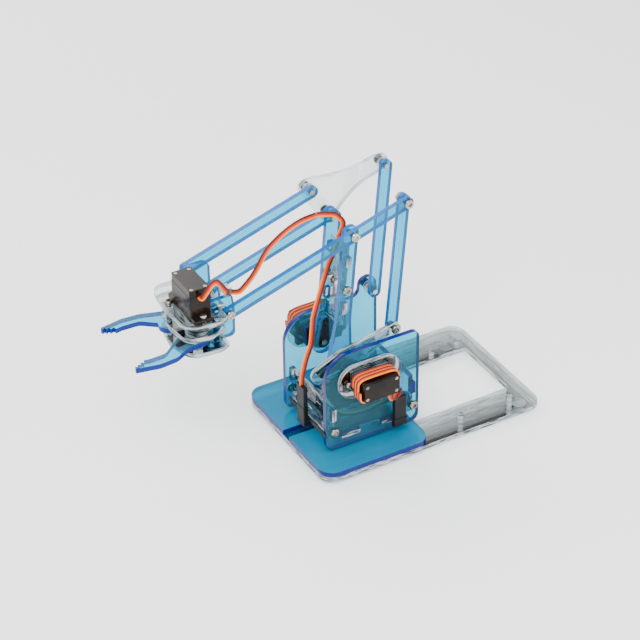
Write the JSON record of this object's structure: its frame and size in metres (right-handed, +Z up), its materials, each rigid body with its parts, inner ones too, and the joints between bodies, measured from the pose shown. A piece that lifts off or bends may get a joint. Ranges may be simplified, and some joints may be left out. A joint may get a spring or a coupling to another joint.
{
  "type": "scara robot arm",
  "caption": "Desktop robot arm of laser-cut blue and clear acrylic on hobby servos: turning base, parallel-link arm that keeps its gripper level, and a geared pincer gripper.",
  "frame": {"origin": "on the table, under the middle of the object's bounding box", "axes": "+X from the base towards the gripper, +Y to the arm's left, +Z up"},
  "size_m": [0.2436, 0.0944, 0.1609],
  "materials": {
    "blue_acrylic": "polished transparent sheet",
    "clear_acrylic": "polished transparent sheet",
    "steel": "bright zinc",
    "smoked_plastic": "smoked translucent case",
    "brass_spline": "machined",
    "black_plastic": "moulded",
    "clear_rubber": "soft translucent",
    "lead_insulation": "soft insulation"
  },
  "bodies": {
    "base": {"base_frame_plate": "clear_acrylic", "base_top_plate": "blue_acrylic", "rubber_feet": "clear_rubber", "yaw_horn": "black_plastic", "yaw_horn_screw": "steel", "yaw_servo_output": "brass_spline"},
    "turret": {"near_side_plate": "blue_acrylic", "far_side_plate": "blue_acrylic", "front_cross_plate": "clear_acrylic", "rear_cross_plate": "blue_acrylic", "turret_floor": "clear_acrylic", "turret_screws": "steel", "turret_nuts": "steel", "servo_collars": "clear_acrylic", "turret_servo_housings": "smoked_plastic", "turret_servo_screws": "steel", "fin_spacer": "clear_acrylic", "lead_connectors": "black_plastic", "turret_leads": "lead_insulation"},
    "upper_arm": {"near_upper_arm": "blue_acrylic", "far_upper_arm": "blue_acrylic", "arm_brace": "clear_acrylic", "arm_brace_nuts": "steel", "upper_arm_screws": "steel", "shoulder_horn": "black_plastic", "shoulder_servo_output": "brass_spline", "gripper_lead_arm": "lead_insulation"},
    "lever": {"elbow_lever": "clear_acrylic", "elbow_lever_screws": "steel", "elbow_horn": "black_plastic", "elbow_servo_output": "brass_spline"},
    "levelling_plate": {"elbow_plate": "clear_acrylic", "elbow_plate_spacers": "clear_acrylic"},
    "forearm": {"near_forearm": "blue_acrylic", "far_forearm": "blue_acrylic", "gripper_lead_forearm": "lead_insulation"},
    "rear_pin": {"drive_link_screw": "steel"},
    "drive_link": {"drive_link": "blue_acrylic"},
    "rear_link": {"rear_link": "blue_acrylic", "rear_link_screws": "steel"},
    "top_link": {"top_link": "blue_acrylic", "top_link_screw": "steel"},
    "gripper": {"gripper_near_plate": "blue_acrylic", "gripper_far_plate": "blue_acrylic", "gripper_servo_plate": "clear_acrylic", "gripper_middle_plate": "clear_acrylic", "gripper_lower_plate": "clear_acrylic", "gripper_servo_housing": "smoked_plastic", "gripper_servo_screws": "steel", "gripper_pivot_screws": "steel", "wrist_spacer": "clear_acrylic", "cable_clip": "clear_acrylic", "gripper_lead_start": "lead_insulation"},
    "near_finger": {"near_jaw": "blue_acrylic", "gripper_horn": "black_plastic", "near_jaw_screw": "steel", "gripper_servo_output": "brass_spline"},
    "far_finger": {"far_jaw": "blue_acrylic"}
  },
  "joints": [
    {"name": "base_turn", "type": "hinge", "parent": "base", "child": "turret", "pos_m": [-0.0117, 0.00055, 0.015], "axis": [0, 0, 1], "range_deg": [-90, 90]},
    {"name": "shoulder", "type": "hinge", "parent": "turret", "child": "upper_arm", "pos_m": [-0.0076, -0.00935, 0.0552], "axis": [0, 1, 0], "range_deg": [-10, 55]},
    {"name": "plate_level", "type": "hinge", "parent": "upper_arm", "child": "levelling_plate", "pos_m": [-0.01485, -0.01615, 0.13487], "axis": [0, 1, 0], "range_deg": [-55, 10]},
    {"name": "elbow", "type": "hinge", "parent": "levelling_plate", "child": "forearm", "pos_m": [-0.01485, 0.00055, 0.13487], "axis": [0, 1, 0], "range_deg": [-30, 30]},
    {"name": "lever_turn", "type": "hinge", "parent": "turret", "child": "lever", "pos_m": [-0.0076, 0.01285, 0.0552], "axis": [0, 1, 0], "range_deg": [-30, 30]},
    {"name": "rear_pin_turn", "type": "hinge", "parent": "forearm", "child": "rear_pin", "pos_m": [-0.04827, 0.01285, 0.14528], "axis": [0, 1, 0], "range_deg": [-30, 30]},
    {"name": "drive_link_turn", "type": "hinge", "parent": "rear_pin", "child": "drive_link", "pos_m": [-0.04827, 0.00935, 0.14528], "axis": [0, 1, 0], "range_deg": [-10, 55]},
    {"name": "rear_link_turn", "type": "hinge", "parent": "turret", "child": "rear_link", "pos_m": [-0.0415, -0.01855, 0.077], "axis": [0, 1, 0], "range_deg": [-10, 55]},
    {"name": "top_link_turn", "type": "hinge", "parent": "levelling_plate", "child": "top_link", "pos_m": [-0.00225, -0.01615, 0.15437], "axis": [0, 1, 0], "range_deg": [-30, 30]},
    {"name": "wrist_level", "type": "hinge", "parent": "forearm", "child": "gripper", "pos_m": [0.06153, 0.00055, 0.11108], "axis": [0, 1, 0], "range_deg": [-30, 30]},
    {"name": "near_finger_turn", "type": "hinge", "parent": "gripper", "child": "near_finger", "pos_m": [0.0798, 0.01135, 0.1027], "axis": [0, 0, 1], "range_deg": [-20, 15]},
    {"name": "far_finger_turn", "type": "hinge", "parent": "gripper", "child": "far_finger", "pos_m": [0.088, -0.00465, 0.1027], "axis": [0, 0, 1], "range_deg": [-15, 20]}
  ],
  "couplings": [
    {"joint": "plate_level", "follows": "shoulder", "ratio": -1},
    {"joint": "lever_turn", "follows": "elbow", "ratio": 1},
    {"joint": "rear_pin_turn", "follows": "elbow", "ratio": -1},
    {"joint": "drive_link_turn", "follows": "shoulder", "ratio": 1},
    {"joint": "rear_link_turn", "follows": "shoulder", "ratio": 1},
    {"joint": "top_link_turn", "follows": "elbow", "ratio": 1},
    {"joint": "wrist_level", "follows": "elbow", "ratio": -1},
    {"joint": "far_finger_turn", "follows": "near_finger_turn", "ratio": -1}
  ]
}
